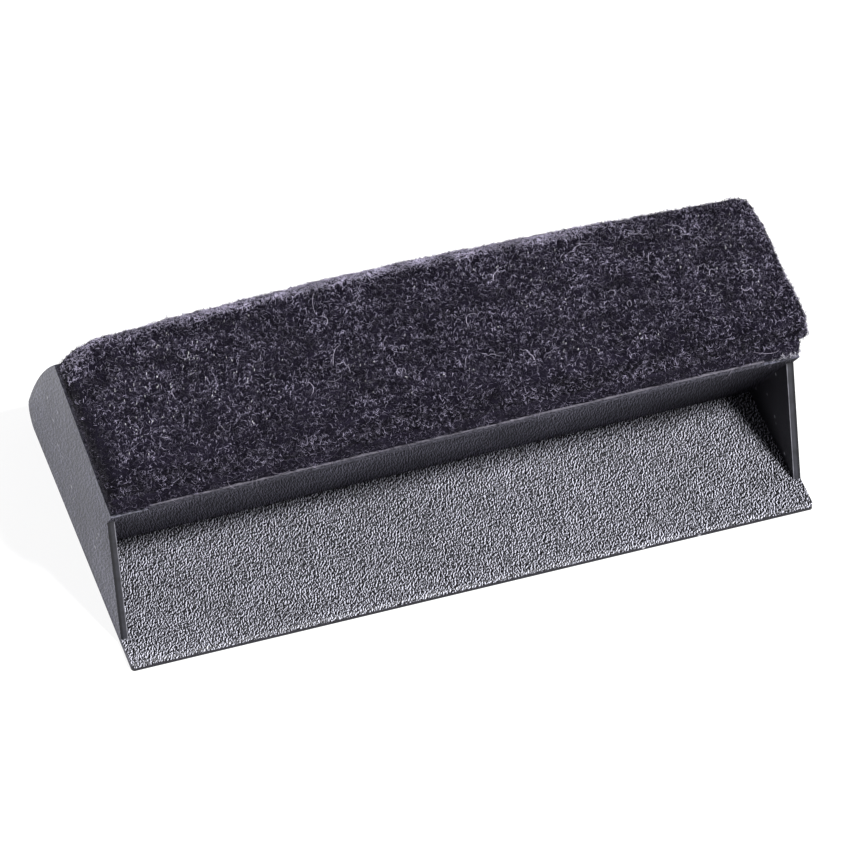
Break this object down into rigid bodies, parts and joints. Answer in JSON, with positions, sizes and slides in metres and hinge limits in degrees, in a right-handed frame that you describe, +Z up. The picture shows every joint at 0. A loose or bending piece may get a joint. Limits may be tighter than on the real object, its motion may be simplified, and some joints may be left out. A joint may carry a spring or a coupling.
{
  "type": "chalkboard eraser",
  "caption": "Moulded board eraser with a thick pile wiping pad on one side and an open pocket for chalk or a pen under its front edge.",
  "frame": {"origin": "centre of the outline on the flat back plate, which is the resting face", "axes": "+X along the length, -Y towards the pocket's mouth, +Z up towards the wiping face"},
  "size_m": [0.151, 0.0775, 0.0501],
  "materials": {
    "shell_plastic": "black moulded plastic, coarse grain in the tray and fine grain outside",
    "carrier_plastic": "smooth black board with a paler cut edge",
    "adhesive_film": "thin double-sided film",
    "base_felt": "dense needled felt",
    "pile_fabric": "deep hairy pile, near black with a violet cast and paler stray fibres",
    "ferrite": "dark sintered ferrite",
    "foam_tape": "white closed-cell foam tape"
  },
  "bodies": {
    "root": {"body_shell": "shell_plastic", "pad_carrier": "carrier_plastic", "pad_tape": "adhesive_film", "felt_base": "base_felt", "pile_pad": "pile_fabric", "magnet_left": "ferrite", "magnet_right": "ferrite", "magnet_tape_left": "foam_tape", "magnet_tape_right": "foam_tape"}
  },
  "joints": []
}
